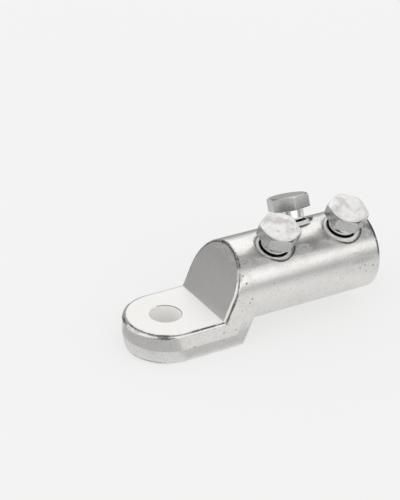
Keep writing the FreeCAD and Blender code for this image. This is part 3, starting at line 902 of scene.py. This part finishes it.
def thread_tree():
    """Geometry nodes that sweep a thread's ridge along a helix."""
    tree = bpy.data.node_groups.new("thread_ridge", "GeometryNodeTree")
    sockets = dict.fromkeys(("Root Radius", "Pitch", "Turns", "Depth", "Start Height"), FLOAT)
    sockets.update({"Place": VECTOR, "Tilt": "NodeSocketRotation", "Material": "NodeSocketMaterial"})
    for label, kind in sockets.items():
        tree.interface.new_socket(name=label, in_out="INPUT", socket_type=kind)
    tree.interface.new_socket(name="Geometry", in_out="OUTPUT", socket_type="NodeSocketGeometry")
    given = tree.nodes.new("NodeGroupInput").outputs
    result = tree.nodes.new("NodeGroupOutput")
    rise = times(tree, given["Pitch"], given["Turns"])
    helix = add_node(tree, "GeometryNodeCurveSpiral", {
        "Resolution": 72, "Rotations": given["Turns"], "Start Radius": given["Root Radius"],
        "End Radius": given["Root Radius"], "Height": rise, "Reverse": False})
    upright = add_node(tree, "GeometryNodeSetCurveNormal", {"Curve": helix.outputs["Curve"]})
    along = tree.nodes.new("GeometryNodeSplineParameter").outputs["Factor"]
    near_end = maths(tree, "MINIMUM", along, minus(tree, 1.0, along))
    ends = times(tree, near_end, times(tree, given["Turns"], 6.0), clamp=True)
    fading = plus(tree, times(tree, ends, 0.9), 0.1)
    sized = add_node(tree, "GeometryNodeSetCurveRadius", {
        "Curve": upright.outputs["Curve"], "Radius": fading})
    profile = add_node(tree, "GeometryNodeCurvePrimitiveQuadrilateral", {
        "Height": times(tree, given["Depth"], 2.0),
        "Bottom Width": times(tree, given["Pitch"], 1.55),
        "Top Width": times(tree, given["Pitch"], 0.14), "Offset": 0.0}, mode="TRAPEZOID")
    swept = add_node(tree, "GeometryNodeCurveToMesh", {
        "Curve": sized.outputs["Curve"], "Profile Curve": profile.outputs["Curve"], "Fill Caps": True})
    raised = add_node(tree, "ShaderNodeCombineXYZ", {"Z": given["Start Height"]})
    lifted = add_node(tree, "GeometryNodeTransform", {
        "Geometry": swept.outputs["Mesh"], "Translation": raised.outputs["Vector"]})
    placed = add_node(tree, "GeometryNodeTransform", {
        "Geometry": lifted.outputs["Geometry"], "Translation": given["Place"],
        "Rotation": given["Tilt"]})
    real = add_node(tree, "GeometryNodeRealizeInstances", {"Geometry": placed.outputs["Geometry"]})
    coated = add_node(tree, "GeometryNodeSetMaterial", {
        "Geometry": real.outputs["Geometry"], "Material": given["Material"]})
    tree.links.new(coated.outputs["Geometry"], result.inputs["Geometry"])
    return tree


def mesh_from_tree(name, tree, values):
    """Plain mesh that a geometry nodes tree makes from these inputs."""
    holder = bpy.data.objects.new(name + "_holder", bpy.data.meshes.new(name + "_holder"))
    bpy.context.scene.collection.objects.link(holder)
    modifier = holder.modifiers.new("tree", "NODES")
    modifier.node_group = tree
    for item in tree.interface.items_tree:
        if item.in_out == "INPUT":
            modifier[item.identifier] = values[item.name]
    bpy.context.view_layer.update()
    evaluated = holder.evaluated_get(bpy.context.evaluated_depsgraph_get())
    mesh = bpy.data.meshes.new_from_object(evaluated)
    mesh.name = name
    holder.modifiers.remove(modifier)
    bpy.data.objects.remove(holder)
    if not mesh.polygons:
        raise RuntimeError("the tree made no faces for " + name)
    return mesh


class CABLELUG_OT_threads(bpy.types.Operator):
    """Wind the threads round the plugs of the three bolts"""

    bl_idname = "cable_lug.threads"
    bl_label = "Bolt threads"

    def execute(self, context):
        chosen = context.scene.cable_lug_bolts
        lug = context.scene.cable_lug_body
        tree = thread_tree()
        coat = bpy.data.materials["bolt_thread"]
        root = root_radius(chosen)
        margin = chosen.thread_pitch * 0.5
        turns = (chosen.plug_length - 2 * margin) / chosen.thread_pitch
        for bolt in BOLT_PLACES:
            place = bolt_matrix(bolt, lug)
            mesh = mesh_from_tree(bolt.name + "_thread", tree, {
                "Root Radius": root, "Pitch": chosen.thread_pitch, "Turns": turns,
                "Depth": chosen.thread_radius - root, "Start Height": margin,
                "Place": place.translation, "Tilt": place.to_euler(), "Material": coat})
            piece = link_piece(bolt.name + "_thread", mesh, [coat])
            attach(piece, bolt.body)
        return {"FINISHED"}


# Floor, light and camera


CAMERA_PLACE = Vector((-0.36348, -0.62343, 0.45193))
CAMERA_RIGHT = Vector((0.86044, -0.50860, 0.03113))
CAMERA_DOWN = Vector((-0.22150, -0.42837, -0.87604))
CAMERA_FORWARD = Vector((0.45889, 0.74688, -0.48124))
FLOOR_DROP = -0.00002
CARD_LIFT = 0.0006
GLOSSY_GLOW = 0.6


def level(height, *corners):
    """Corners of a level card."""
    return [(x, y, height) for x, y in corners]


def upright(start, end, low, high):
    """Corners of an upright card over the line between two places."""
    return [(*start, low), (*end, low), (*end, high), (*start, high)]


def floor_ring(near, far):
    """Corners of a card on the floor round the palm's end, between two radii."""
    ring = [(near, a) for a in range(-84, -228, -13)] + [(far, a) for a in range(-227, -84, 13)]
    ring = [(radius, math.radians(a)) for radius, a in ring]
    return level(CARD_LIFT, *[(radius * math.cos(a), radius * math.sin(a)) for radius, a in ring])


# Cards that only reflections see: name, strength and corners
CARDS = [
    ("ceiling_gap_left", 0.32, level(
        0.5, (-0.6, 0.0), (0.1, 0.03), (0.29, 0.03), (0.31, -0.16), (-0.6, -0.18))),
    ("ceiling_gap_right", 0.04, level(
        0.5, (0.29, 0.03), (0.38, -0.01), (0.43, 0.04), (0.75, 0.04), (0.75, -0.58), (0.43, -0.51),
        (0.31, -0.16))),
    ("ceiling_grey", 0.5, level(0.501, (-0.6, -0.18), (0.33, -0.16), (0.42, -0.5), (-0.6, -0.5))),
    ("horizon_front", 0.02, upright((0.05, -0.599), (0.75, -0.599), 0.0, 0.060)),
    ("horizon_floor", 0.04, level(CARD_LIFT, (0.05, -0.36), (0.75, -0.36), (0.75, -0.599), (0.05, -0.599))),
    ("left_flag", 0.7, upright((-0.43, -0.195), (-0.32, -0.383), 0.0, 0.49)),
    ("front_strip", 0.03, [
        (0.41, -0.6, 0.0), (0.75, -0.6, 0.0), (0.75, -0.6, 0.26), (0.49, -0.6, 0.22),
        (0.42, -0.6, 0.06)]),
    ("front_bright", 1.2, upright((0.1, -0.601), (0.46, -0.601), 0.0, 0.4)),
    ("back_left_low", 0.24, upright((-0.45, 0.05), (0.11, 0.46), 0.0, 0.12)),
    ("back_left_high", 0.35, upright((-0.45, 0.05), (0.18, 0.46), 0.12, 0.54)),
    ("floor_dark", 0.45, floor_ring(0.030, 0.11)),
    ("floor_back", 0.15, level(CARD_LIFT, (0.1, 0.17), (0.48, 0.17), (0.48, 0.6), (0.1, 0.6))),
    ("floor_contact", 0.52, level(
        0.0005, (-0.004, -0.0225), (0.050, -0.0225), (0.050, -0.0305), (-0.004, -0.0305))),
    ("floor_front", 0.66, level(CARD_LIFT, (0.125, -0.035), (0.22, -0.035), (0.24, -0.14), (0.135, -0.14))),
    ("floor_near", 0.68, floor_ring(0.0226, 0.0299)),
    ("back_right", 0.25, upright((0.18, 0.47), (0.6, 0.47), 0.0, 0.16)),
]


def flat_piece(name, corners, material):
    """Staged piece with one flat face."""
    mesh = bpy.data.meshes.new(name)
    mesh.from_pydata(corners, [], [tuple(range(len(corners)))])
    piece = link_piece(name, mesh, [material])
    return piece


def card(name, strength, corners):
    """Flat card that only reflections see."""
    material = bpy.data.materials.new(name)
    tree = empty_tree(material)
    glow = add_node(tree, "ShaderNodeEmission", {"Color": rgba((1.0, 1.0, 1.0)), "Strength": strength})
    add_node(tree, "ShaderNodeOutputMaterial", {"Surface": glow.outputs["Emission"]})
    piece = flat_piece(name, corners, material)
    for ray in ("camera", "diffuse", "shadow", "transmission"):
        setattr(piece, "visible_" + ray, False)


def floor_material(chosen):
    """Pale matt floor that keeps the object's shadow, lighter to the camera and to reflections."""
    material = bpy.data.materials.new("studio_floor")
    tree = empty_tree(material)
    place = tree.nodes.new("ShaderNodeTexCoord").outputs["Object"]
    tint = mix_colour(
        tree, map_range(tree, noise(tree, place, 3.0, 3.0), 0.3, 0.7),
        chosen.floor_colour, tinted(chosen.floor_colour, 0.994))
    path = tree.nodes.new("ShaderNodeLightPath").outputs
    share = plus(
        tree, times(tree, path["Is Camera Ray"], 1.0 - chosen.shadow_share),
        times(tree, path["Is Glossy Ray"], GLOSSY_GLOW))
    apart = vector_maths(tree, "DISTANCE", place, (0.05, 0.0, 0.0))
    dimmer = map_range(tree, apart, 0.08, 0.20, 0.82, 0.45, smooth=True)
    matt = add_node(tree, "ShaderNodeBsdfDiffuse", {"Color": tint, "Roughness": 0.5})
    glow = add_node(tree, "ShaderNodeEmission", {
        "Color": tint, "Strength": maths(tree, "MAXIMUM", path["Is Camera Ray"], dimmer)})
    mixed = add_node(tree, "ShaderNodeMixShader", {
        0: share, 1: matt.outputs["BSDF"], 2: glow.outputs["Emission"]})
    add_node(tree, "ShaderNodeOutputMaterial", {"Surface": mixed.outputs["Shader"]})
    return material


def light_the_studio():
    """World: even light for matt surfaces, a soft tent with darker rims for reflections."""
    world = bpy.data.worlds.new("studio")
    bpy.context.scene.world = world
    tree = empty_tree(world)
    way = tree.nodes.new("ShaderNodeTexCoord").outputs["Generated"]
    parts = add_node(tree, "ShaderNodeSeparateXYZ", {"Vector": way}).outputs
    front = map_range(tree, parts["Z"], -0.05, 0.21, 0.5, 1.06, smooth=True)
    back = map_range(tree, parts["Z"], 0.03, 0.45, 0.42, 1.05, smooth=True)
    side = map_range(tree, parts["Y"], -0.15, 0.35, smooth=True)
    tent = plus(tree, times(tree, back, side), times(tree, front, minus(tree, 1.0, side)))
    path = tree.nodes.new("ShaderNodeLightPath").outputs
    plain = add_node(tree, "ShaderNodeBackground", {"Color": rgba((1.0, 1.0, 1.0)), "Strength": 1.0})
    shaped = add_node(tree, "ShaderNodeBackground", {"Color": rgba((1.0, 1.0, 0.995)), "Strength": tent})
    mixed = add_node(tree, "ShaderNodeMixShader", {
        0: path["Is Glossy Ray"], 1: plain.outputs["Background"], 2: shaped.outputs["Background"]})
    add_node(tree, "ShaderNodeOutputWorld", {"Surface": mixed.outputs["Shader"]})


class CABLELUG_OT_studio(bpy.types.Operator):
    """Set up the plain floor, the soft light and the camera"""

    bl_idname = "cable_lug.studio"
    bl_label = "Studio"

    def execute(self, context):
        chosen = context.scene.cable_lug_studio
        side = chosen.floor_size
        flat_piece(
            "floor", level(FLOOR_DROP, (-side, -side), (side, -side), (side, side), (-side, side)),
            floor_material(chosen))
        light_the_studio()
        for name, strength, corners in CARDS:
            card(name, strength, corners)
        camera = bpy.data.objects.new("camera", bpy.data.cameras.new("camera"))
        context.scene.collection.objects.link(camera)
        camera.data.lens = chosen.lens
        camera.data.clip_start = 0.01
        camera.data.clip_end = 50.0
        turn = Matrix((CAMERA_RIGHT, -CAMERA_DOWN, -CAMERA_FORWARD)).transposed()
        camera.matrix_world = Matrix.Translation(CAMERA_PLACE) @ turn.to_4x4()
        context.scene.camera = camera
        context.scene.view_settings.view_transform = "Standard"
        return {"FINISHED"}


class CABLELUG_PT_panel(bpy.types.Panel):
    """Lists the makers of the cable lug"""

    bl_idname = "CABLELUG_PT_panel"
    bl_label = "Cable lug"
    bl_space_type = "VIEW_3D"
    bl_region_type = "UI"
    bl_category = "Cable lug"

    def draw(self, context):
        layout = self.layout
        for maker in (CABLELUG_OT_body, CABLELUG_OT_bolts, CABLELUG_OT_threads, CABLELUG_OT_studio):
            layout.operator(maker.bl_idname)
        for ending in SETTING_GROUPS:
            box = layout.box()
            chosen = getattr(context.scene, SETTINGS + ending)
            for key in chosen.__annotations__:
                box.prop(chosen, key)


SETTING_GROUPS = {
    "_body": LugBodySettings,
    "_bolts": ShearBoltSettings,
    "_studio": StudioSettings,
}
CLASSES = [
    LugBodySettings, ShearBoltSettings, StudioSettings, CABLELUG_OT_body, CABLELUG_OT_bolts,
    CABLELUG_OT_threads, CABLELUG_OT_studio, CABLELUG_PT_panel,
]


def register():
    """Registers the settings, makers and panel."""
    for item in CLASSES:
        bpy.utils.register_class(item)
    for ending, group in SETTING_GROUPS.items():
        setattr(bpy.types.Scene, SETTINGS + ending, PointerProperty(type=group))


def unregister():
    """Takes the settings, makers and panel away again."""
    for ending in SETTING_GROUPS:
        delattr(bpy.types.Scene, SETTINGS + ending)
    for item in reversed(CLASSES):
        bpy.utils.unregister_class(item)


def main():
    """Makes every piece and the studio."""
    register()
    bpy.ops.cable_lug.body()
    bpy.ops.cable_lug.bolts()
    bpy.ops.cable_lug.threads()
    bpy.ops.cable_lug.studio()


if __name__ == "__main__":
    main()
